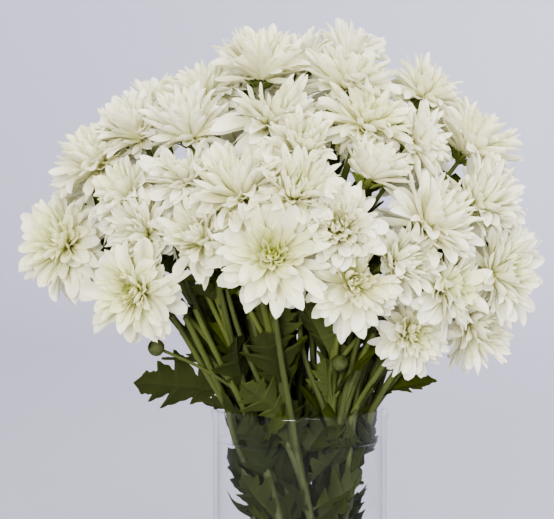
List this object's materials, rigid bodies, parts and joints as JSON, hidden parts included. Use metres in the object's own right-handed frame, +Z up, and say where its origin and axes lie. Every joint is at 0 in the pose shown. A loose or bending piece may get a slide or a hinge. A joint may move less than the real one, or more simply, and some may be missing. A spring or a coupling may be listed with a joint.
{
  "type": "chrysanthemums in a jar",
  "caption": "Full domed bouquet of white double spray chrysanthemums with lobed green leaves, standing in a straight-sided clear glass jar of water.",
  "frame": {"origin": "on the jar's axis, at the underside of its base, which rests on the table", "axes": "+Z up along the jar's axis; the bouquet's best-seen side faces -Y; +X to its right"},
  "size_m": [0.3588, 0.3003, 0.4676],
  "materials": {
    "glass": "clear, smooth, polished",
    "water": "clear still water",
    "petal": "soft matt petals, creamy white, yellow-green at the heart",
    "leaf": "matt green leaves and ribbed green stems"
  },
  "bodies": {
    "root": {"bloom_back_left_1": "petal", "bloom_back_left_2": "petal", "bloom_back_left_3": "petal", "bloom_back_left_4": "petal", "bloom_back_left_5": "petal", "bloom_back_right_1": "petal", "bloom_back_right_2": "petal", "bloom_back_right_3": "petal", "bloom_back_right_4": "petal", "bloom_back_right_5": "petal", "bloom_front_1": "petal", "bloom_front_2": "petal", "bloom_front_3": "petal", "bloom_front_4": "petal", "bloom_front_5": "petal", "bloom_front_left_1": "petal", "bloom_front_left_2": "petal", "bloom_front_left_3": "petal", "bloom_front_left_4": "petal", "bloom_front_right_1": "petal", "bloom_front_right_2": "petal", "bloom_front_right_3": "petal", "bloom_front_right_4": "petal", "bloom_front_right_5": "petal", "bloom_left_1": "petal", "bloom_left_2": "petal", "bloom_left_3": "petal", "bloom_left_4": "petal", "bloom_left_5": "petal", "bloom_right_1": "petal", "bloom_right_2": "petal", "bloom_right_3": "petal", "bloom_right_4": "petal", "bloom_right_5": "petal", "bloom_top_1": "petal", "bloom_top_2": "petal", "bloom_top_3": "petal", "bloom_top_4": "petal", "bloom_top_front_1": "petal", "bloom_top_front_2": "petal", "bloom_top_front_3": "petal", "bloom_top_front_4": "petal", "bloom_top_right_1": "petal", "bloom_top_right_2": "petal", "bloom_top_right_3": "petal", "bloom_top_right_4": "petal", "bloom_top_right_5": "petal", "jar": "glass", "stem_back_left": "leaf", "stem_back_right": "leaf", "stem_front": "leaf", "stem_front_left": "leaf", "stem_front_right": "leaf", "stem_left": "leaf", "stem_right": "leaf", "stem_top": "leaf", "stem_top_front": "leaf", "stem_top_right": "leaf", "water": "water"}
  },
  "joints": []
}
